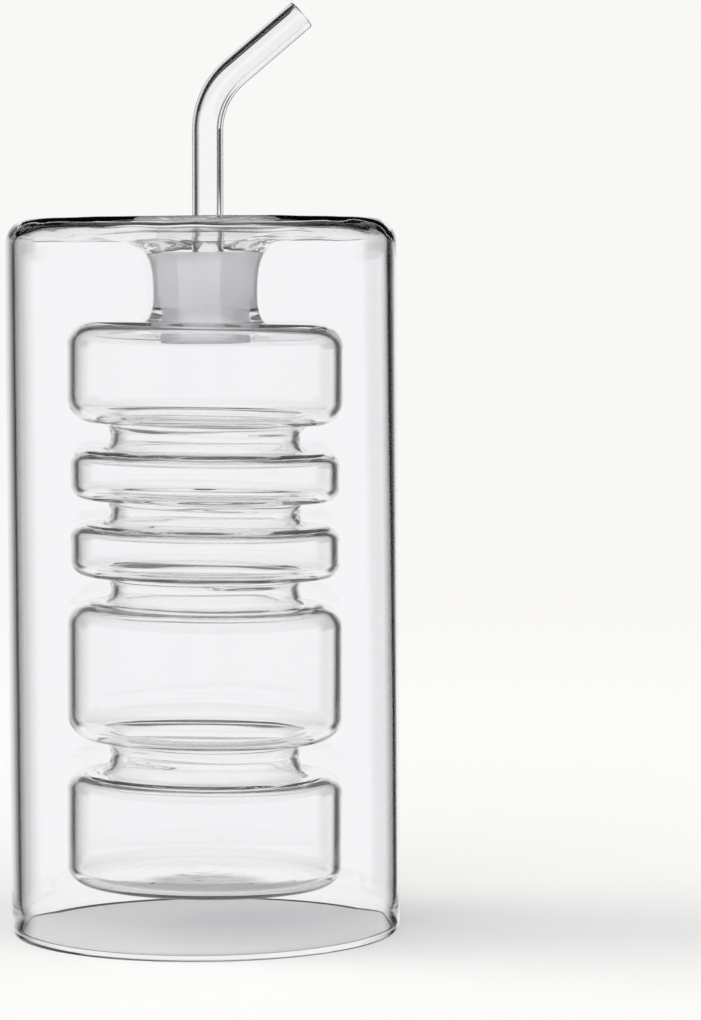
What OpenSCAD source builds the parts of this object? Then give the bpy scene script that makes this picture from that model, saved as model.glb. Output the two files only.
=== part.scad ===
// Glass cruet: a straight sleeve with a ringed bottle hanging inside it from
// the neck, fused into one piece, and a hollow ground stopper with a bent spout.
// Millimetres, +Z up, origin on the table at the centre of the bottom rim,
// the spout points to +X.

/* [Outer sleeve] */
// Outer diameter of the straight sleeve
sleeve_d = 80; // [76:1:90]
// Thickness of the sleeve's glass
sleeve_wall = 1.8; // [1.5:0.1:2.4]
// Outer radius of the round shoulder at the top
shoulder_round = 5; // [4:0.5:6]
// Thickness of the top plate
plate_t = 2; // [1.6:0.1:2.4]
// Thickness of the bead that the bottom rim is melted to
rim_t = 2.5; // [2.4:0.1:3.2]
// Height of that bead
rim_h = 2.8; // [2.6:0.1:4]
// Radius of the bead's fire-polished edges
rim_round = 1; // [0.6:0.1:1.1]

/* [Inner bottle] */
// Thickness of the inner bottle's glass
bottle_wall = 1.2; // [1:0.1:1.4]
// Clear height from the table to the inner bottle
base_gap = 10; // [6:1:16]
// Outer diameter of the three chambers
chamber_d = 56.6; // [54:0.2:60]
// Outer diameter of the two thin rings
ring_d = 55.2; // [52:0.2:60]
// Outer diameter at the waists between them
waist_d = 38.8; // [34:0.2:42]
// Height of the lowest chamber
low_chamber_h = 21; // [16:1:30]
// Height of the tall chamber
tall_chamber_h = 28; // [20:1:40]
// Height of each thin ring
ring_h = 10; // [8:0.5:14]
// Height of the top chamber
top_chamber_h = 20.8; // [16:0.2:30]
// Height of the lowest groove
low_groove_h = 7.2; // [5:0.2:8]
// Height of the groove between the two rings
ring_groove_h = 5.4; // [5:0.2:8]
// Height of the other two grooves
groove_h = 6.4; // [5:0.2:8]
// Corner radius of the chambers
chamber_round = 5; // [3:0.5:6]
// Corner radius of the rings
ring_round = 3; // [2:0.25:3.5]
// Rise of the dished bottom at its middle
dish_rise = 1.2; // [0.6:0.2:2]

/* [Neck and funnel] */
// Thickness of the neck's glass at its waist
neck_wall = 1.05; // [0.9:0.05:1.6]
// Height of the neck's waist above the bottle's shoulder
neck_waist_rise = 5.4; // [5:0.2:7]
// Rise from the bottle's shoulder to the top plate
neck_rise = 21.2; // [20:0.2:26]
// Reach of the sweep from the neck out to the bottle's shoulder
neck_foot = 2.4; // [2:0.2:4]
// Reach of the lip where the ground bore opens into the bottle
bore_lip = 1.6; // [1.2:0.1:2]
// Diameter at which the top plate starts to dip to the neck
funnel_d = 52; // [46:1:56]
// Depth of the funnel from the top plate to the ground bore
funnel_drop = 6.2; // [6:0.1:7]

/* [Ground joint] */
// Diameter of the plug at the top of its ground cone
plug_d = 19.8; // [19.4:0.1:20.2]
// Length of the plug's ground cone
plug_len = 15.4; // [14:0.2:18]
// Depth of the cone's top below the mouth of the ground bore
plug_sunk = 3; // [2.5:0.1:3.5]
// Length over which the cone's diameter falls by one millimetre
taper_run = 10; // [8:1:20]
// Gap between the two ground faces, on the radius
joint_gap = 0.05; // [0.02:0.01:0.08]

/* [Spout stopper] */
// Thickness of the stopper's glass in the plug and the dome
stopper_wall = 1; // [0.8:0.1:1.2]
// Height of the domed shoulder above the ground cone
dome_h = 3.8; // [3.4:0.1:4.2]
// Height over which the dome sweeps up into the tube
dome_sweep = 2.2; // [1.6:0.1:3]
// Outer diameter of the spout tube
tube_d = 6.4; // [6:0.1:7]
// Thickness of the tube's glass
tube_wall = 0.75; // [0.7:0.05:0.9]
// Length of the upright tube from the dome to the bend
tube_rise = 23.4; // [15:0.2:40]
// Radius of the bend along the middle of the tube
bend_r = 15.5; // [12:0.5:25]
// Angle that the tube bends from upright
bend_angle = 49.5; // [30:0.5:90]
// Length of the straight tube after the bend
spout_len = 18.2; // [10:0.2:40]

/* [Hidden] */
$fn = 96;

// Outlines of funnel, neck and sweeps are made of this many short steps
curve_steps = 10;
// Cutters reach this far past the surface that they cut
over = 1;
// The bend's wall is this much stouter on each side than that of the straight tube
bend_swell = 0.02;
// Straight tubes end this far inside the bend's wall
tube_lap = 0.3;
// The shallow dish is made of this many steps to the full circle
dish_steps = 720;
// The lip has swept up into the ground bore at this height above the bottle's shoulder
lip_rise = 1;

sleeve_r = sleeve_d / 2;
waist_r = waist_d / 2;
tube_r = tube_d / 2;
tube_bore_r = tube_r - tube_wall;

// The inner bottle from the bottom up
disc_h = [low_chamber_h, tall_chamber_h, ring_h, ring_h, top_chamber_h];
disc_r = [chamber_d, chamber_d, ring_d, ring_d, chamber_d] / 2;
disc_round = [chamber_round, chamber_round, ring_round, ring_round, chamber_round];
gap_h = [low_groove_h, groove_h, ring_groove_h, groove_h];
function disc_z(i) = i == 0 ? base_gap : disc_z(i - 1) + disc_h[i - 1] + gap_h[i - 1];
discs = len(disc_h);
// Radius at a groove's bottom, a half circle where the discs around it stand out enough
groove_r = [
    for (i = [0:discs - 2]) min(gap_h[i], min(disc_r[i], disc_r[i + 1]) - waist_r) / 2
];
// A disc's corner ends outside the grooves above and below it
corner_r = [
    for (i = [0:discs - 1])
        let (groove = max(groove_r[max(i - 1, 0)], groove_r[min(i, discs - 2)]))
        min(disc_round[i], disc_r[i] - waist_r - groove)
];
bottle_top = disc_z(discs - 1) + disc_h[discs - 1];
body_h = bottle_top + neck_rise;

// The ground cone: the plug's radius at a height, and the bore's around it
mouth_z = body_h - funnel_drop;
plug_top = mouth_z - plug_sunk;
plug_foot = plug_top - plug_len;
bore_foot = bottle_top + lip_rise;
function plug_r(z) = plug_d / 2 + (z - plug_top) / taper_run / 2;
function bore_r(z) = plug_r(z) + joint_gap;

neck_waist_z = bottle_top + neck_waist_rise;
neck_r = bore_r(neck_waist_z) + neck_wall;

// The dish ends inside the lowest chamber's round corner, and its rise sets its radius
dish_edge = 3;
dish_span = disc_r[0] - corner_r[0] - dish_edge;
dish_r = (dish_span * dish_span + dish_rise * dish_rise) / 2 / dish_rise;

dome_top = plug_top + dome_h;
bend_z = dome_top + tube_rise;

// Shape of the trumpet: how far up the neck's line the lower curve is led, how far
// out and below the plate both curves are led in, and how the bore's mouth flares
bell_rise = 0.74;
bell_reach = 2;
bell_dip = 1.7;
mouth_flare = 0.6;
mouth_rise = 0.35;
// Lead of the dome's curve, up from the cone and down from the tube
dome_lead = 1.2;
tube_lead = 0.42;

// Points of a cubic curve from a to d that leaves a towards b and reaches d from c
function curve(a, b, c, d) = [
    for (i = [0:curve_steps])
        let (t = i / curve_steps, s = 1 - t)
        s * s * s * a + 3 * s * s * t * b + 3 * s * t * t * c + t * t * t * d
];

// Half of a disc's section, from the axis out, with round outer corners
module disc_section(r, z0, z1, round) {
    translate([0, z0]) square([r - round, z1 - z0]);
    translate([0, z0 + round]) square([r, z1 - z0 - 2 * round]);
    for (z = [z0 + round, z1 - round]) {
        translate([r - round, z]) circle(round);
    }
}

// Half of the ringed bottle's section, shrunk by the same inset everywhere
module bottle_section(inset) {
    difference() {
        union() {
            for (i = [0:discs - 1]) {
                disc_section(
                    disc_r[i] - inset,
                    disc_z(i) + inset,
                    disc_z(i) + disc_h[i] - inset,
                    corner_r[i] - inset
                );
            }
            for (i = [0:discs - 2]) {
                translate([0, disc_z(i) + disc_h[i] - inset])
                    square([waist_r + groove_r[i], gap_h[i] + 2 * inset]);
            }
        }
        for (i = [0:discs - 2]) {
            flat = gap_h[i] - 2 * groove_r[i];
            translate([waist_r + groove_r[i], disc_z(i + 1) - gap_h[i] / 2]) {
                for (z = flat > 0 ? [-flat, flat] / 2 : [0]) {
                    translate([0, z]) circle(groove_r[i] + inset);
                }
                if (flat > 0) {
                    translate([-groove_r[i] - inset, -flat / 2])
                        square([2 * (groove_r[i] + inset), flat]);
                }
            }
        }
        translate([0, base_gap + dish_rise - dish_r]) circle(dish_r + inset, $fn = dish_steps);
    }
}

// Half of the neck's and funnel's section as a solid, up to the plate's underside
module neck_section() {
    plate_low = body_h - plate_t;
    foot = curve(
        [neck_r + neck_foot, bottle_top],
        [neck_r + neck_foot / 2, bottle_top],
        [neck_r, bottle_top + neck_waist_rise / 3],
        [neck_r, neck_waist_z]
    );
    bell = curve(
        [neck_r, neck_waist_z],
        [neck_r, neck_waist_z + (plate_low - neck_waist_z) * bell_rise],
        [neck_r + bell_reach, plate_low - bell_dip],
        [funnel_d / 2, plate_low]
    );
    polygon(concat([[0, bottle_top - bottle_wall / 2]], foot, bell, [[0, plate_low]]));
}

// Half of the space inside the funnel and the ground bore
module bore_section() {
    ceiling = bottle_top - bottle_wall;
    foot = curve(
        [bore_r(bore_foot) + bore_lip, ceiling],
        [bore_r(bore_foot) + bore_lip / 3, ceiling],
        [bore_r(bore_foot), ceiling + bore_lip / 2],
        [bore_r(bore_foot), bore_foot]
    );
    mouth = curve(
        [bore_r(mouth_z), mouth_z],
        [bore_r(mouth_z) + mouth_flare, mouth_z + funnel_drop * mouth_rise],
        [bore_r(mouth_z) + 2 * bell_reach, body_h - bell_dip],
        [funnel_d / 2, body_h]
    );
    polygon(concat(
        [[0, ceiling - over], [bore_r(bore_foot) + bore_lip, ceiling - over]],
        foot,
        mouth,
        [[funnel_d / 2, body_h + over], [0, body_h + over]]
    ));
}

// Half of a straight jar's section with a round shoulder, from the rim's bead up
module sleeve_section(r, h, round) {
    translate([0, rim_h / 2]) square([r, h - round - rim_h / 2]);
    translate([0, rim_h / 2]) square([r - round, h - rim_h / 2]);
    translate([r - round, h - round]) circle(round);
}

// Section of the bead at the bottom rim, fire-polished round, with a flat to stand on
module rim_section() {
    inner = sleeve_r - rim_t;
    translate([inner + rim_round, 0]) square([rim_t - 2 * rim_round, rim_h]);
    translate([inner, rim_round]) square([rim_t, rim_h - 2 * rim_round]);
    for (r = [inner + rim_round, sleeve_r - rim_round], z = [rim_round, rim_h - rim_round]) {
        translate([r, z]) circle(rim_round);
    }
}

// The sleeve, top plate, funnel, neck and ringed bottle are one piece of glass
module double_wall_bottle() {
    color([0.86, 0.91, 0.93, 0.5])
        rotate_extrude()
            intersection() {
                translate([0, -over]) square([sleeve_r + over, body_h + 2 * over]);
                difference() {
                    union() {
                        difference() {
                            sleeve_section(sleeve_r, body_h, shoulder_round);
                            translate([0, -over])
                                sleeve_section(
                                    sleeve_r - sleeve_wall,
                                    body_h - plate_t + over,
                                    shoulder_round - sleeve_wall
                                );
                        }
                        rim_section();
                        bottle_section(0);
                        neck_section();
                    }
                    bottle_section(bottle_wall);
                    bore_section();
                }
            }
}

// Half of the outline of plug, dome and upright tube, wall is how far inside it lies
module stopper_section(tube_side, wall) {
    dome = curve(
        [plug_r(plug_top) - wall, plug_top],
        [plug_r(plug_top) - wall, plug_top + dome_h * dome_lead - wall],
        [tube_side, dome_top - dome_h * tube_lead - wall],
        [tube_side, dome_top + dome_sweep]
    );
    foot = plug_foot + (wall > 0 ? -over : stopper_wall / 2);
    polygon(concat(
        [[0, foot], [plug_r(foot) - wall, foot]],
        dome,
        [[tube_side, bend_z + tube_lap], [0, bend_z + tube_lap]]
    ));
}

// Places its children at the end of the bend, with +Z along the spout
module at_spout() {
    translate([bend_r * (1 - cos(bend_angle)), 0, bend_z + bend_r * sin(bend_angle)])
        rotate([0, bend_angle, 0])
            children();
}

// The hollow plug, its dome and the bent spout are one piece of glass
module spout_stopper() {
    color([0.80, 0.83, 0.85, 0.8]) {
        rotate_extrude() {
            difference() {
                stopper_section(tube_r, 0);
                stopper_section(tube_bore_r, stopper_wall);
            }
            translate([plug_r(plug_foot) - stopper_wall / 2, plug_foot + stopper_wall / 2])
                circle(stopper_wall / 2);
        }
        translate([bend_r, 0, bend_z])
            rotate([90, 0, 0])
                mirror([1, 0, 0])
                    rotate_extrude(angle = bend_angle)
                        translate([bend_r, 0])
                            difference() {
                                circle(tube_r + bend_swell);
                                circle(tube_bore_r - bend_swell);
                            }
        at_spout()
            rotate_extrude() {
                translate([tube_bore_r, -tube_lap])
                    square([tube_wall, tube_lap + spout_len - tube_wall / 2]);
                translate([tube_r - tube_wall / 2, spout_len - tube_wall / 2])
                    circle(tube_wall / 2);
            }
    }
}

double_wall_bottle();
spout_stopper();
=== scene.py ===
import math

import bpy
import numpy as np
from mathutils import Matrix


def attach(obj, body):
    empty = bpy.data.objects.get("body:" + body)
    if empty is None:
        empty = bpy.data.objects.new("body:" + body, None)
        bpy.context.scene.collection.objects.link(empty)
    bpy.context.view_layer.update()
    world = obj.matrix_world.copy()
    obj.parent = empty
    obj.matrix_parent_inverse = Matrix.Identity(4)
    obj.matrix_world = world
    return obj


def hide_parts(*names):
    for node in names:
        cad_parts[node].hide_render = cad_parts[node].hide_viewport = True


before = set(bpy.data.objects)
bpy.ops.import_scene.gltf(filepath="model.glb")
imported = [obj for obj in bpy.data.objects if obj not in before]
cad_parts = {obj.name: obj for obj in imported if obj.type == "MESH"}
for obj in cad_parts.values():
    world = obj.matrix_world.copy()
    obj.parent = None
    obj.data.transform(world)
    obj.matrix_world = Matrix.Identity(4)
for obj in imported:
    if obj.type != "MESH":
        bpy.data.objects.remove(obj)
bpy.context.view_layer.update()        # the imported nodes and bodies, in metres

mm = 0.001
scene = bpy.context.scene
seededNumbers = np.random.default_rng(47)
print("frame loaded")


# Small helpers for colours, nodes and materials

def linearColour(hexText):
    # sRGB hex to linear, channel by channel: up to 0.04045 divide by 12.92, and above it
    # ((c + 0.055) / 1.055) ^ 2.4
    parts = [int(hexText[i:i + 2], 16) / 255 for i in (1, 3, 5)]
    return tuple(c / 12.92 if c <= 0.04045 else ((c + 0.055) / 1.055) ** 2.4 for c in parts) + (1.0,)


def addNode(tree, kind, inputs=None, **settings):
    # inputs maps a socket's name or number to a value, or to another node's output that is linked in
    node = tree.nodes.new(kind)
    for name, value in settings.items():
        setattr(node, name, value)
    for name, value in (inputs or {}).items():
        if isinstance(value, bpy.types.NodeSocket):
            tree.links.new(value, node.inputs[name])
        else:
            node.inputs[name].default_value = value
    return node


def newMaterial(name):
    material = bpy.data.materials.new(name)
    material.use_nodes = True
    material.node_tree.nodes.clear()
    return material, material.node_tree


# Outlines in millimetres: radius and height, as arrays of points

def straight(a, b, count):
    # a + (b - a) t, the end left out
    t = np.linspace(0, 1, count, endpoint=False)[:, None]
    return np.array(a) + (np.array(b) - np.array(a)) * t


def arc(centre, radius, start, end, count):
    # centre + radius (cos a, sin a), a in degrees from start to end, the end left out. The radius may be a
    # pair, across and up
    a = np.radians(np.linspace(start, end, count, endpoint=False))
    return np.array(centre) + np.array(radius) * np.stack([np.cos(a), np.sin(a)], axis=1)


def cubic(a, b, c, d, count):
    # the cubic curve from a to d that leaves towards b and comes in from c, the end left out
    t = np.linspace(0, 1, count, endpoint=False)[:, None]
    s = 1 - t
    a, b, c, d = map(np.array, (a, b, c, d))
    return s ** 3 * a + 3 * s ** 2 * t * b + 3 * s * t ** 2 * c + t ** 3 * d


def putMesh(name, points, faces, ground, material):
    # points in metres, faces as rows of corner numbers, ground 1 for each face that is ground
    mesh = bpy.data.meshes.new(name)
    mesh.from_pydata(points.tolist(), [], faces)
    mesh.polygons.foreach_set("use_smooth", np.ones(len(faces), bool))
    mask = mesh.attributes.new("ground", "FLOAT", "FACE")
    mask.data.foreach_set("value", np.asarray(ground, np.float32))
    mesh.materials.append(material)
    mesh.update()
    piece = bpy.data.objects.new(name, mesh)
    scene.collection.objects.link(piece)
    return piece


# Glass, clear and ground

glassLook = dict(
    ior=1.472,                # borosilicate
    colour="#FFFFFF",
    edgeFrom=0.86, edgeTo=1.0,      # 0 straight on and 1 along the face
    edgeShadeColour="#A0A1A4",     # painted shade at a slant, standing in for the dark surroundings seen in the glass's edges
    absorb=3.0,               # per metre of glass, which greys only the longest ways through it
    waveSize=22.0,            # mm from crest to crest of the hand-blown waves
    waveHeight=0.010,         # mm
    shadowColour="#F2F2F4",
)
groundLook = dict(
    roughness=0.38,
    matt=0.8,                 # share of the light that the ground face scatters evenly
    onwards=0.4,              # share of that which goes on through the face
    paleColour="#F4F4F4", greyColour="#E8E8E8",
    gritSize=0.35,            # mm, coarser than real grit so that it shows
    gritHeight=0.004,         # mm
    cloudSize=6.0,            # mm
    slantFrom=0.10, slantTo=0.36,   # 0 straight on and 1 along the face
    slantShadeColour="#D2D2D2",    # painted shade at a slant: the ground faces grey towards their sides
    shadowColour="#E4E4E4",
)


def partGroundGlass(name, look, ground, waveStretch):
    # Clear borosilicate worked at the flame: colourless and mirror-smooth, with faint waves that bend what
    # is behind it. Its edges are darkened in colour where the wall is seen at a slant: painted shade that
    # stands in for the dark surroundings real glass shows there. The faces that the mesh marks as ground were
    # ground with wet grit: matt and even grey-white, they blur all behind them, and they grey towards their
    # sides with painted shade. It is one material, because the glass between the two kinds of face is one
    # body
    material, tree = newMaterial(name)
    place = addNode(tree, "ShaderNodeTexCoord")
    slant = addNode(tree, "ShaderNodeLayerWeight", {"Blend": 0.5})

    def uneven(vector, size, detail, height):
        # a surface that rises and falls by the height in mm, with the size in mm from crest to crest
        texture = addNode(tree, "ShaderNodeTexNoise", {
            "Vector": vector, "Scale": 1 / (size * mm), "Detail": detail})
        return addNode(tree, "ShaderNodeBump", {
            "Distance": height * mm, "Height": texture.outputs["Fac"]}).outputs[0]

    def paintedSlantShade(start, end, facing, aside):
        # one colour seen straight on, another at a slant: painted shade that darkens the sides
        share = addNode(tree, "ShaderNodeMapRange", {
            "Value": slant.outputs["Facing"], "From Min": start, "From Max": end},
            interpolation_type="SMOOTHSTEP")
        return addNode(tree, "ShaderNodeMix", {
            0: share.outputs[0], 6: facing, 7: linearColour(aside)}, data_type="RGBA").outputs[2]

    stretch = addNode(tree, "ShaderNodeMapping", {"Vector": place.outputs["Object"], "Scale": waveStretch})
    # painted shade: the clear glass's colour darkens at a slant, standing in for dark surroundings seen at
    # its edges
    edge = paintedSlantShade(look["edgeFrom"], look["edgeTo"], linearColour(look["colour"]), look["edgeShadeColour"])
    clear = addNode(tree, "ShaderNodeBsdfPrincipled", {
        "Base Color": edge, "Roughness": 0.0, "IOR": look["ior"], "Transmission Weight": 1.0,
        "Normal": uneven(stretch.outputs[0], look["waveSize"], 2.0, look["waveHeight"])})

    grit = uneven(place.outputs["Object"], ground["gritSize"], 3.0, ground["gritHeight"])
    cloud = addNode(tree, "ShaderNodeTexNoise", {
        "Vector": place.outputs["Object"], "Scale": 1 / (ground["cloudSize"] * mm), "Detail": 2.0})
    clouded = addNode(tree, "ShaderNodeMix", {
        0: cloud.outputs["Fac"], 6: linearColour(ground["paleColour"]),
        7: linearColour(ground["greyColour"])}, data_type="RGBA")
    # the ground glass's random cloudy tone, with painted shade that greys it towards its sides
    toneAndSlantShade = paintedSlantShade(ground["slantFrom"], ground["slantTo"], clouded.outputs[2], ground["slantShadeColour"])
    rough = addNode(tree, "ShaderNodeBsdfPrincipled", {
        "Base Color": toneAndSlantShade, "Roughness": ground["roughness"], "IOR": look["ior"],
        "Transmission Weight": 1.0, "Normal": grit})
    back = addNode(tree, "ShaderNodeBsdfDiffuse", {"Color": toneAndSlantShade, "Normal": grit})
    onwards = addNode(tree, "ShaderNodeBsdfTranslucent", {"Color": toneAndSlantShade, "Normal": grit})
    bright = addNode(tree, "ShaderNodeMixShader", {
        0: ground["onwards"], 1: back.outputs[0], 2: onwards.outputs[0]})
    matt = addNode(tree, "ShaderNodeMixShader", {
        0: ground["matt"], 1: rough.outputs[0], 2: bright.outputs[0]})

    mask = addNode(tree, "ShaderNodeAttribute", attribute_name="ground")
    face = addNode(tree, "ShaderNodeMixShader", {
        0: mask.outputs["Fac"], 1: clear.outputs[0], 2: matt.outputs[0]})
    shade = addNode(tree, "ShaderNodeMix", {
        0: mask.outputs["Fac"], 6: linearColour(look["shadowColour"]),
        7: linearColour(ground["shadowColour"])}, data_type="RGBA")
    through = addNode(tree, "ShaderNodeBsdfTransparent", {"Color": shade.outputs[2]})
    rays = addNode(tree, "ShaderNodeLightPath")
    both = addNode(tree, "ShaderNodeMixShader", {
        0: rays.outputs["Is Shadow Ray"], 1: face.outputs[0], 2: through.outputs[0]})
    body = addNode(tree, "ShaderNodeVolumeAbsorption", {
        "Color": linearColour("#000000"), "Density": look["absorb"]})
    addNode(tree, "ShaderNodeOutputMaterial", {"Surface": both.outputs[0], "Volume": body.outputs[0]})
    return material


# The double-wall bottle: one closed outline turned round the axis

bottle = dict(
    sleeveRadius=40.0, sleeveWall=1.8, shoulderRound=5.0, plateThickness=2.0,
    rimThickness=2.0, rimHeight=8.0, rimRound=(0.8, 2.3),
    wall=1.45, baseGap=10.0, waistRadius=19.4,
    discHeights=(22.8, 28.2, 10.6, 10.1, 20.65),
    discRadii=(28.3, 28.3, 27.6, 27.6, 28.3),
    discRounds=(3.8, 5.0, 3.0, 3.0, 5.0),
    grooveHeights=(6.95, 5.35, 5.0, 5.55),
    dishRise=1.2,
    neckRadius=10.67, neckWaistRise=5.4, neckRise=21.2, neckFoot=2.4,
    boreLip=1.6, lipRise=1.0, groundRise=2.8, funnelRadius=26.0, funnelDrop=6.2,
    # how the curves run up the neck, in under the plate, down the funnel and into the mouth
    bellRise=0.74, bellReach=2.0, bellDip=1.7, mouthFlare=0.6, mouthRise=0.35,
    lean=(-0.3, 0.8),         # mm that the hanging bottle stands off the axis, at its foot and neck
    tilt=0.020,               # radians that its rings are turned, left side up
    thinning=0.55,            # mm that the sleeve's wall is thinner on its right than on its left
    thinningRun=110.0,        # mm below the shoulder over which that difference sets in
    reach=0.5,                # mm inside the rim's inner side that still counts as sleeve
    turns=120,                # steps round the axis
    # waves of each kind: height and shortest and longest length in mm, and most crests round the axis
    drawn=(0.008, 9.0, 40.0, 3), worked=(0.030, 2.5, 9.0, 4), tooled=(0.060, 1.3, 3.5, 4),
    pressed=(0.070, 2.5, 9.0, 24), dished=(0.020, 2.2, 6.0, 3),
    waveCount=16,
    waveBlend=3,              # points on each side of a place over which the kinds blend
    poleFade=6.0,             # mm from the axis within which the waves die down
)
joint = dict(topRadius=9.9, length=15.4, sunk=3.0, taperRun=10.0, gap=0.05)

discFoots = [bottle["baseGap"]]
for height, groove in zip(bottle["discHeights"], bottle["grooveHeights"]):
    discFoots.append(discFoots[-1] + height + groove)
bottleTop = discFoots[-1] + bottle["discHeights"][-1]
bodyTop = bottleTop + bottle["neckRise"]
mouthHeight = bodyTop - bottle["funnelDrop"]
plugTop = mouthHeight - joint["sunk"]
plugFoot = plugTop - joint["length"]
boreFoot = bottleTop + bottle["lipRise"]


def plugRadius(z):
    # a cone that loses a millimetre of diameter over taperRun
    return joint["topRadius"] + (z - plugTop) / joint["taperRun"] / 2


def boreRadius(z):
    return plugRadius(z) + joint["gap"]


def ringedOutline(inset):
    # The ringed bottle's side from its flat bottom up to its flat top. Corners are arcs that shrink by
    # the inset, grooves are half circles that grow by it
    b = bottle
    parts = []
    for i, (z0, height, radius, corner) in enumerate(
            zip(discFoots, b["discHeights"], b["discRadii"], b["discRounds"])):
        z1 = z0 + height
        middle = radius - corner
        parts += [
            ("worked", arc((middle, z0 + corner), corner - inset, -90, 0, 10)),
            ("drawn", straight((radius - inset, z0 + corner), (radius - inset, z1 - corner),
                               int(height / 2))),
            ("worked", arc((middle, z1 - corner), corner - inset, 0, 90, 10)),
        ]
        if i < len(b["grooveHeights"]):
            half = b["grooveHeights"][i] / 2
            nextMiddle = b["discRadii"][i + 1] - b["discRounds"][i + 1]
            centre = (b["waistRadius"] + half, z1 + half)
            parts += [
                ("tooled", straight((middle, z1 - inset), (centre[0], z1 - inset), 2)),
                ("tooled", arc(centre, half + inset, -90, -270, 20)),
                ("tooled", straight((centre[0], z1 + 2 * half + inset),
                                    (nextMiddle, z1 + 2 * half + inset), 2)),
            ]
    return parts


def backwards(parts):
    return [(kind, points[::-1]) for kind, points in parts[::-1]]


def dishOutline(inset):
    # From the axis out: a shallow dome that runs out level, dishRise (1 + cos(pi r / edge)) / 2 above the
    # bottom's plane
    b = bottle
    edge = b["discRadii"][0] - b["discRounds"][0]
    r = np.linspace(0, edge, 24, endpoint=False)
    rise = b["dishRise"] * (1 + np.cos(np.pi * r / edge)) / 2
    return [("dished", np.stack([r, b["baseGap"] + inset + rise], axis=1))]


def bottleOutline():
    # The whole glass section as one line: from the axis under the bottle, up its outside, out under the
    # plate, down inside the sleeve, round the rim, up and over the top, down the funnel and the ground
    # bore, and down the bottle's inside to the axis
    b = bottle
    r, wall = b["sleeveRadius"], b["wall"]
    plateLow = bodyTop - b["plateThickness"]
    inner = r - b["sleeveWall"]
    innerRound = b["shoulderRound"] - b["sleeveWall"]
    corner = r - b["shoulderRound"]
    innerTop = plateLow - innerRound
    shoulderZ = bodyTop - b["shoulderRound"]
    neck, waistZ = b["neckRadius"], bottleTop + b["neckWaistRise"]
    lastMiddle = b["discRadii"][-1] - b["discRounds"][-1]
    across, up = b["rimRound"]
    rimIn = r - b["rimThickness"]
    swell = (b["rimHeight"] - up) / 2
    groundFoot = bottleTop + b["groundRise"]
    boreTop, boreLow = boreRadius(mouthHeight), boreRadius(boreFoot)
    ceiling = bottleTop - wall
    parts = dishOutline(0) + ringedOutline(0) + [
        ("worked", straight((lastMiddle, bottleTop), (neck + b["neckFoot"], bottleTop), 10)),
        ("worked", cubic((neck + b["neckFoot"], bottleTop), (neck + b["neckFoot"] / 2, bottleTop),
                         (neck, bottleTop + b["neckWaistRise"] / 3), (neck, waistZ), 14)),
        ("worked", cubic((neck, waistZ), (neck, waistZ + (plateLow - waistZ) * b["bellRise"]),
                         (neck + b["bellReach"], plateLow - b["bellDip"]),
                         (b["funnelRadius"], plateLow), 26)),
        ("pressed", straight((b["funnelRadius"], plateLow), (corner, plateLow), 8)),
        ("pressed", arc((corner, innerTop), innerRound, 90, 0, 12)),
        ("drawn", straight((inner, innerTop), (inner, b["rimHeight"]), 34)),
        ("drawn", cubic((inner, b["rimHeight"]), (inner, b["rimHeight"] - swell), (rimIn, up + swell),
                        (rimIn, up), 8)),
        ("still", arc((rimIn + across, up), (across, up), 180, 270, 12)),
        ("still", straight((rimIn + across, 0), (r - across, 0), 1)),
        ("still", arc((r - across, up), (across, up), 270, 360, 12)),
        ("drawn", straight((r, up), (r, shoulderZ), 36)),
        ("pressed", arc((corner, shoulderZ), b["shoulderRound"], 0, 90, 18)),
        ("pressed", straight((corner, bodyTop), (b["funnelRadius"], bodyTop), 8)),
        ("pressed", cubic((b["funnelRadius"], bodyTop),
                          (boreTop + 2 * b["bellReach"], bodyTop - b["bellDip"]),
                          (boreTop + b["mouthFlare"], mouthHeight + b["funnelDrop"] * b["mouthRise"]),
                          (boreTop, mouthHeight), 28)),
        ("ground", straight((boreTop, mouthHeight), (boreRadius(groundFoot), groundFoot), 10)),
        ("still", straight((boreRadius(groundFoot), groundFoot), (boreLow, boreFoot), 2)),
        ("still", cubic((boreLow, boreFoot), (boreLow, ceiling + b["boreLip"] / 2),
                        (boreLow + b["boreLip"] / 3, ceiling), (boreLow + b["boreLip"], ceiling), 10)),
        ("worked", straight((boreLow + b["boreLip"], ceiling), (lastMiddle, ceiling), 10)),
    ] + backwards(ringedOutline(wall)) + backwards(dishOutline(wall))
    line = np.concatenate([p for _, p in parts])
    kinds = np.concatenate([np.full(len(p), kind) for kind, p in parts])
    return line, kinds


def handWaves(line, kinds, turns):
    # How far each point (i, j) is pushed along the outline's normal, in mm. For each kind of work it is a
    # sum over k of w_k cos(2 pi s_i / l_k + m_k a_j + p_k), with s the length along the outline and a the
    # angle round the axis. Heights blend over a few points where two kinds meet
    steps = np.hypot(*np.diff(line, axis=0, prepend=line[:1]).T)
    s = np.cumsum(steps)
    a = 2 * np.pi * np.arange(turns) / turns
    push = np.zeros((len(line), turns))
    side = bottle["waveBlend"]
    window = np.full(2 * side + 1, 1 / (2 * side + 1))
    for name in ("drawn", "worked", "tooled", "pressed", "dished"):
        height, shortest, longest, crests = bottle[name]
        count = bottle["waveCount"]
        length = seededNumbers.uniform(shortest, longest, count)
        crest = seededNumbers.integers(-crests, crests + 1, count)
        start = seededNumbers.uniform(0, 2 * np.pi, count)
        weight = length / length.sum()
        wave = np.cos(2 * np.pi * s[:, None, None] / length + a[None, :, None] * crest + start) @ weight
        share = np.convolve(np.pad((kinds == name).astype(float), side, "edge"), window, "valid")
        push += height * 2 * share[:, None] * wave
    return push * np.clip(line[:, 0] / bottle["poleFade"], 0, 1)[:, None] ** 2


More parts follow.
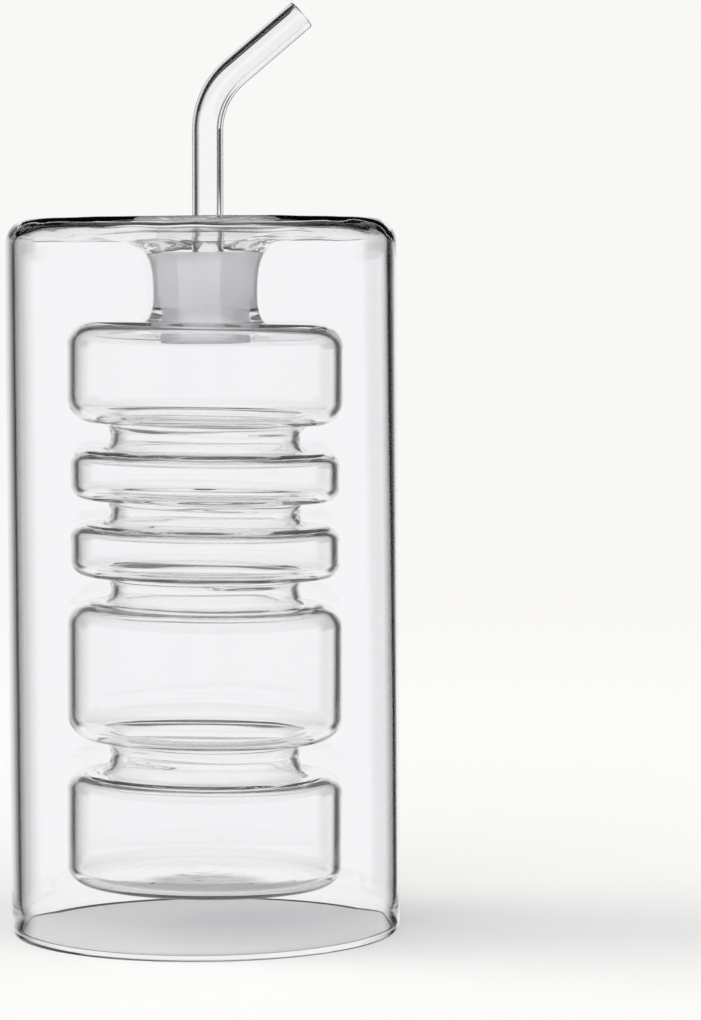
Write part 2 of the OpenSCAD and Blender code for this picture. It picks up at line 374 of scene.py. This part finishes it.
def turnedSurface(line, ground, push):
    # Point (i, j) is (r_i cos a_j, r_i sin a_j, z_i) with a_j = 2 pi j / turns, moved by push_ij along the
    # outline's normal. The first and last points of the line lie on the axis and close it as poles
    turns = push.shape[1]
    a = 2 * np.pi * np.arange(turns) / turns
    along = np.gradient(line, axis=0)
    along /= np.maximum(np.hypot(along[:, 0], along[:, 1]), 1e-9)[:, None]
    r = (line[:, 0:1] + push * along[:, 1:2])[1:-1]
    z = (line[:, 1:2] - push * along[:, 0:1])[1:-1]
    points = np.concatenate([
        [[0, 0, line[0, 1]]], np.stack([r * np.cos(a), r * np.sin(a), z], axis=2).reshape(-1, 3),
        [[0, 0, line[-1, 1]]]])
    rows = len(r)
    i, j = np.meshgrid(np.arange(rows - 1), np.arange(turns), indexing="ij")
    k = (j + 1) % turns
    quads = np.stack([i * turns + j, i * turns + k, (i + 1) * turns + k, (i + 1) * turns + j], axis=2)
    quads = 1 + quads.reshape(-1, 4)
    j = np.arange(turns)
    k = (j + 1) % turns
    last = 1 + (rows - 1) * turns
    first = np.stack([np.zeros_like(j), 1 + k, 1 + j], axis=1)
    final = np.stack([np.full_like(j, len(points) - 1), last + j, last + k], axis=1)
    faces = quads.tolist() + first.tolist() + final.tolist()
    return points, faces, np.concatenate([np.repeat(ground[1:-2], turns), np.zeros(2 * turns, bool)])


def leaning(points):
    # The hanging bottle, neck and funnel stand off the axis by an amount that grows evenly with height,
    # and the offset fades out over the plate between the funnel and the shoulder. The rings are turned a
    # little too, which fades out up the neck
    b = bottle
    low, high = b["lean"]
    radius = np.hypot(points[:, 0], points[:, 1])
    up = np.clip((points[:, 2] - b["baseGap"]) / (bottleTop - b["baseGap"]), 0, 1)
    corner = b["sleeveRadius"] - b["shoulderRound"]
    fade = np.clip((corner - radius) / (corner - b["discRadii"][0]), 0, 1)
    moved = points.copy()
    inside = fade * fade * (3 - 2 * fade)
    moved[:, 0] += (low + (high - low) * up) * inside
    onRings = np.clip((mouthHeight - points[:, 2]) / (mouthHeight - bottleTop), 0, 1)
    moved[:, 2] -= b["tilt"] * points[:, 0] * inside * onRings
    # The sleeve's inner face stands out to the right, where the drawn wall is thinner: by thinning times
    # (1 + cos a) / 2, fading over the rim's round and up to the shoulder
    r = b["sleeveRadius"]
    flat = r - b["rimThickness"] + b["rimRound"][0]
    below = np.clip((bodyTop - b["shoulderRound"] - points[:, 2]) / b["thinningRun"], 0, 1)
    onSleeve = radius > r - b["rimThickness"] - b["reach"]
    onFace = np.clip((flat - radius) / (flat - r + b["sleeveWall"]), 0, 1) * onSleeve
    away = np.maximum(radius, 1)
    right = (1 + points[:, 0] / away) / 2
    out = b["thinning"] * onFace * below * below * (3 - 2 * below) * right
    moved[:, :2] += points[:, :2] * (out / away)[:, None]
    return moved


outline, workKinds = bottleOutline()
bottlePoints, bottleFaces, bottleGround = turnedSurface(
    outline, workKinds == "ground", handWaves(outline, workKinds, bottle["turns"]))
bottleGlass = partGroundGlass("borosilicate_flame_worked_ground_neck", glassLook, groundLook, (1.0, 1.0, 0.6))
bottlePiece = putMesh("glass_bottle", leaning(bottlePoints) * mm, bottleFaces, bottleGround, bottleGlass)
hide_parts("double_wall_bottle")
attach(bottlePiece, "bottle")
print("bottle made:", len(bottleFaces), "faces")


# The spout stopper: one closed outline carried along the tube's middle line

stopper = dict(
    wall=1.0, domeHeight=3.8,
    domeSweep=2.2,            # mm above the dome over which its curve runs into the tube
    domeLead=1.2, tubeLead=0.42,    # how far that curve's ends keep their way, in heights of the dome
    tubeRadius=3.2, tubeWall=0.95, tubeRise=23.4, bendRadius=15.5, bendAngle=49.5, spoutLength=18.2,
    tubeOffset=0.6,           # mm that the tube stands off the plug's axis
    tubeLean=0.006,           # and how much more per mm of its length
    turns=96,
)
domeTop = plugTop + stopper["domeHeight"]
bendFoot = domeTop + stopper["tubeRise"]
bendLength = stopper["bendRadius"] * math.radians(stopper["bendAngle"])
tipPlace = bendFoot + bendLength + stopper["spoutLength"]


def stopperOutline():
    # Radius and place along the middle line, from the plug's foot up the outside, over the tip and back
    # down the inside. The place is the height up to the bend, and runs on along the tube past it
    s = stopper
    half = s["tubeWall"] / 2
    footHalf = s["wall"] / 2
    bore = s["tubeRadius"] - s["tubeWall"]
    footZ = plugFoot + footHalf
    footOut = plugRadius(footZ)
    sweepEnd = domeTop + s["domeSweep"]

    def dome(side, wall, count):
        top = plugRadius(plugTop) - wall
        return cubic((top, plugTop), (top, plugTop + s["domeHeight"] * s["domeLead"] - wall),
                     (side, domeTop - s["domeHeight"] * s["tubeLead"] - wall), (side, sweepEnd), count + 1)

    tip = tipPlace - half
    parts = [
        ("ground", straight((footOut, footZ), (plugRadius(plugTop), plugTop), 16)),
        ("clear", dome(s["tubeRadius"], 0, 26)),
        ("clear", straight((s["tubeRadius"], sweepEnd), (s["tubeRadius"], bendFoot), 20)),
        ("clear", straight((s["tubeRadius"], bendFoot), (s["tubeRadius"], bendFoot + bendLength), 30)),
        ("clear", straight((s["tubeRadius"], bendFoot + bendLength), (s["tubeRadius"], tip), 12)),
        ("clear", arc((s["tubeRadius"] - half, tip), half, 0, 180, 10)),
        ("clear", straight((bore, tip), (bore, bendFoot + bendLength), 12)),
        ("clear", straight((bore, bendFoot + bendLength), (bore, bendFoot), 30)),
        ("clear", straight((bore, bendFoot), (bore, sweepEnd), 20)),
        ("clear", np.concatenate([[(bore, sweepEnd)], dome(bore, s["wall"], 26)[::-1]])[:-1]),
        ("clear", straight((plugRadius(plugTop) - s["wall"], plugTop), (footOut - s["wall"], footZ), 12)),
        ("clear", arc((footOut - footHalf, footZ), footHalf, 180, 360, 10)),
    ]
    line = np.concatenate([p for _, p in parts])
    ground = np.concatenate([np.full(len(p), kind == "ground") for kind, p in parts])
    return line, ground


def sweptSurface(line, ground, turns):
    # Point (i, j) is c(s_i) + r_i (cos a_j, sin a_j) in the plane across the middle line c at s_i. The
    # middle line is upright up to the bend, an arc of the bend's radius and then straight. The outline
    # closes on itself
    bendR = stopper["bendRadius"]
    s = line[:, 1]
    angle = np.clip((s - bendFoot) / bendR, 0, math.radians(stopper["bendAngle"]))
    off = np.clip((s - plugTop) / (domeTop - plugTop), 0, 1)
    past = np.clip(s - bendFoot - bendLength, 0, None)
    cx = bendR * (1 - np.cos(angle)) + past * np.sin(angle)
    cx += stopper["tubeOffset"] * off * off * (3 - 2 * off)
    cx += stopper["tubeLean"] * np.clip(s - domeTop, 0, None)
    cz = np.minimum(s, bendFoot) + bendR * np.sin(angle) + past * np.cos(angle)
    a = 2 * np.pi * np.arange(turns) / turns
    across = line[:, 0:1] * np.cos(a)
    x = cx[:, None] + across * np.cos(angle)[:, None]
    z = cz[:, None] - across * np.sin(angle)[:, None]
    y = line[:, 0:1] * np.sin(a)
    points = np.stack([x, y, z], axis=2).reshape(-1, 3)
    rows = len(line)
    i, j = np.meshgrid(np.arange(rows), np.arange(turns), indexing="ij")
    k, n = (j + 1) % turns, (i + 1) % rows
    quads = np.stack([i * turns + j, i * turns + k, n * turns + k, n * turns + j], axis=2).reshape(-1, 4)
    return points, quads.tolist(), np.repeat(ground, turns)


stopperLine, stopperGround = stopperOutline()
stopperPoints, stopperFaces, stopperMask = sweptSurface(stopperLine, stopperGround, stopper["turns"])
stopperPoints[:, 0] += bottle["lean"][1]          # it sits in the neck
stopperGlass = partGroundGlass("borosilicate_drawn_tube_ground_plug", glassLook, groundLook, (1.0, 1.0, 0.3))
stopperPiece = putMesh("glass_stopper", stopperPoints * mm, stopperFaces, stopperMask, stopperGlass)
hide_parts("spout_stopper")
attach(stopperPiece, "stopper")
print("stopper made:", len(stopperFaces), "faces")


# Floor, world and lamp

studio = dict(
    paper="#F9F8F6",          # backdrop and floor as the camera sees them
    floorSolid=0.30, floorRadius=0.9,        # m, the paper is whole up to the first and gone at the second
    glassSolid=0.0385, glassRadius=0.0402,   # m, the same for what the glass shows
    glassPaper="#F6F6F8",     # backdrop as the glass shows it
    skyLevel=0.775,           # share of the floor's light that comes from all round
    frontShare=0.9,           # how much more of that comes from the front than from the sides
    sunLevel=0.26,            # and from the window
    sunFrom=(-0.88, 0.09, 0.47),
    sunAngle=44.0,            # degrees across, for the softness of the shadow
    # dark flags on both sides: degrees to the right of straight behind, and the light's level there
    flagCurve=((-56, 1.0), (-46, 0.01), (-31, 0.01), (-29.5, 0.07), (-28, 0.22), (-26, 0.36), (-23, 0.48),
               (-20, 0.60), (-18, 0.69), (-16, 0.79), (-14, 0.89), (-12, 0.97), (-9, 1.0), (12, 1.0),
               (16, 0.95), (18.5, 0.85), (20.5, 0.45), (22, 0.03), (38, 0.01), (48, 1.0), (56, 1.0)),
    # where each dark thing starts and ends, in degrees of height, each with its softness
    flags=(-22.0, 7.0, 14.0, 6.0),
    roof=(13.0, 3.0, 55.0, 3.0),             # a band that runs round above
    low=(-74.0, 3.0, -54.0, 3.0),            # and one below
    wings=(0.9, 0.5, 55.0, 3.0),             # on both sides the upper band comes lower
    wingsAside=(40.0, 3.0, 64.0, 3.0),       # that far round to each side
    bandLevel=0.01,           # what light the bands leave
)


def makeFloor(look):
    # A round sheet of matt backdrop paper, even and warm white, that takes only the soft shadow. It fades
    # out with the distance from its middle, and sooner for what is seen through glass
    material, tree = newMaterial("paper_matt")
    place = addNode(tree, "ShaderNodeTexCoord")
    away = addNode(tree, "ShaderNodeVectorMath", {0: place.outputs["Object"]}, operation="LENGTH")
    rays = addNode(tree, "ShaderNodeLightPath")
    seen, bent = [addNode(tree, "ShaderNodeMapRange", {
        "Value": away.outputs["Value"], "From Min": solid, "From Max": radius},
        interpolation_type="SMOOTHSTEP") for solid, radius in (
            (look["floorSolid"], look["floorRadius"]), (look["glassSolid"], look["glassRadius"]))]
    far = addNode(tree, "ShaderNodeMix", {
        0: rays.outputs["Is Camera Ray"], 2: bent.outputs[0], 3: seen.outputs[0]})
    paper = addNode(tree, "ShaderNodeBsdfDiffuse", {"Color": linearColour(look["paper"])})
    gone = addNode(tree, "ShaderNodeBsdfTransparent")
    sheet = addNode(tree, "ShaderNodeMixShader", {0: far.outputs[0], 1: paper.outputs[0], 2: gone.outputs[0]})
    addNode(tree, "ShaderNodeOutputMaterial", {"Surface": sheet.outputs[0]})
    a = np.radians(np.arange(0, 360, 5))
    points = look["floorRadius"] * np.stack([np.cos(a), np.sin(a), 0 * a], axis=1)
    floor = putMesh("paper_floor", points, [list(range(len(a)))], [0], material)


def makeWorld(look):
    # Seen straight, the backdrop is plain paper. Glass sees a bright studio with a dark flag on each side
    # behind it and dark bands above and below, which draw its edges. Matt faces see a plain sky
    world = bpy.data.worlds.new("studio")
    scene.world = world
    world.use_nodes = True
    tree = world.node_tree
    tree.nodes.clear()
    way = addNode(tree, "ShaderNodeTexCoord")
    parts = addNode(tree, "ShaderNodeSeparateXYZ", {0: way.outputs["Generated"]})
    side = addNode(tree, "ShaderNodeMath", {
        0: parts.outputs["X"], 1: parts.outputs["Y"]}, operation="ARCTAN2")
    widest = look["flagCurve"][-1][0]
    share = addNode(tree, "ShaderNodeMath", {
        0: side.outputs[0], 1: 1 / math.radians(2 * widest), 2: 0.5}, operation="MULTIPLY_ADD")
    ramp = addNode(tree, "ShaderNodeValToRGB", {0: share.outputs[0]})
    stops = ramp.color_ramp.elements
    while len(stops) < len(look["flagCurve"]):
        stops.new(0.5)
    for stop, (degrees, level) in zip(stops, look["flagCurve"]):
        stop.position = 0.5 + degrees / widest / 2
        stop.color = (level, level, level, 1.0)
    lift = addNode(tree, "ShaderNodeMath", {0: parts.outputs["Z"]}, operation="ARCSINE")
    aside = addNode(tree, "ShaderNodeMath", {0: side.outputs[0]}, operation="ABSOLUTE")

    def between(angle, start, startSoft, end, endSoft):
        # 0 outside and 1 inside the range of degrees, smooth over the soft degrees past each end
        low, high = [addNode(tree, "ShaderNodeMapRange", {
            "Value": angle.outputs[0], "From Min": math.radians(a), "From Max": math.radians(a + soft)},
            interpolation_type="SMOOTHSTEP") for a, soft in ((start, startSoft), (end, endSoft))]
        return addNode(tree, "ShaderNodeMath", {
            0: low.outputs[0], 1: high.outputs[0]}, operation="SUBTRACT")

    def shaded(below, cover):
        # the level below it, taken down to the bands' level as far as the cover goes
        share = addNode(tree, "ShaderNodeMix", {0: cover.outputs[0], 2: 1.0, 3: look["bandLevel"]})
        return addNode(tree, "ShaderNodeMath", {
            0: below.outputs[0], 1: share.outputs[0]}, operation="MULTIPLY")

    level = addNode(tree, "ShaderNodeMix", {
        0: between(lift, *look["flags"]).outputs[0], 2: 1.0, 3: ramp.outputs[0]})
    level = shaded(level, between(lift, *look["roof"]))
    level = shaded(level, between(lift, *look["low"]))
    wings = addNode(tree, "ShaderNodeMath", {
        0: between(aside, *look["wingsAside"]).outputs[0],
        1: between(lift, *look["wings"]).outputs[0]}, operation="MULTIPLY")
    level = shaded(level, wings)
    inGlass = addNode(tree, "ShaderNodeBackground", {
        "Color": linearColour(look["glassPaper"]), "Strength": level.outputs[0]})
    frontal = addNode(tree, "ShaderNodeMath", {
        0: parts.outputs["Y"], 1: -look["frontShare"] * look["skyLevel"], 2: look["skyLevel"]},
        operation="MULTIPLY_ADD")
    onMatt = addNode(tree, "ShaderNodeBackground", {
        "Color": linearColour("#FFFFFF"), "Strength": frontal.outputs[0]})
    straightOn = addNode(tree, "ShaderNodeBackground", {"Color": linearColour(look["paper"])})
    rays = addNode(tree, "ShaderNodeLightPath")
    bent = addNode(tree, "ShaderNodeMath", {
        0: rays.outputs["Is Transmission Ray"], 1: rays.outputs["Is Glossy Ray"]}, operation="MAXIMUM")
    clear = addNode(tree, "ShaderNodeMath", {0: rays.outputs["Diffuse Depth"], 1: 0.5}, operation="LESS_THAN")
    glassRay = addNode(tree, "ShaderNodeMath", {
        0: bent.outputs[0], 1: clear.outputs[0]}, operation="MULTIPLY")
    first = addNode(tree, "ShaderNodeMixShader", {
        0: glassRay.outputs[0], 1: onMatt.outputs[0], 2: inGlass.outputs[0]})
    second = addNode(tree, "ShaderNodeMixShader", {
        0: rays.outputs["Is Camera Ray"], 1: first.outputs[0], 2: straightOn.outputs[0]})
    addNode(tree, "ShaderNodeOutputWorld", {"Surface": second.outputs[0]})


def makeSun(look):
    # Daylight from a window on the left. Its level is the light that it adds on the level floor
    data = bpy.data.lights.new("window_light", "SUN")
    data.angle = math.radians(look["sunAngle"])
    source = np.array(look["sunFrom"])
    source = source / np.linalg.norm(source)
    data.energy = look["sunLevel"] * math.pi / source[2]
    lamp = bpy.data.objects.new("window_light", data)
    scene.collection.objects.link(lamp)
    lamp.rotation_euler = (math.acos(source[2]), 0, math.atan2(source[0], -source[1]))
    lamp.visible_camera = lamp.visible_glossy = lamp.visible_transmission = False


makeFloor(studio)
makeWorld(studio)
makeSun(studio)
print("studio made")


# Camera: a long lens, a little above half the object's height, with the object left in the frame

view = dict(
    distance=0.7763, height=0.131,           # m
    lens=133.45,                             # mm
    pan=2.237, tilt=3.280, roll=-0.318,      # degrees
)

cameraData = bpy.data.cameras.new("camera")
cameraData.lens = view["lens"]
cameraData.sensor_width = 36.0
camera = bpy.data.objects.new("camera", cameraData)
scene.collection.objects.link(camera)
camera.location = (0, -view["distance"], view["height"])
turned = (Matrix.Rotation(-math.radians(view["pan"]), 3, "Z")
          @ Matrix.Rotation(math.radians(90 - view["tilt"]), 3, "X")
          @ Matrix.Rotation(math.radians(view["roll"]), 3, "Z"))
camera.rotation_euler = turned.to_euler()
scene.camera = camera

scene.view_settings.view_transform = "Standard"
scene.cycles.max_bounces = 32
scene.cycles.transmission_bounces = 32
scene.cycles.glossy_bounces = 12
scene.cycles.diffuse_bounces = 16
scene.cycles.transparent_max_bounces = 32
print("camera made")
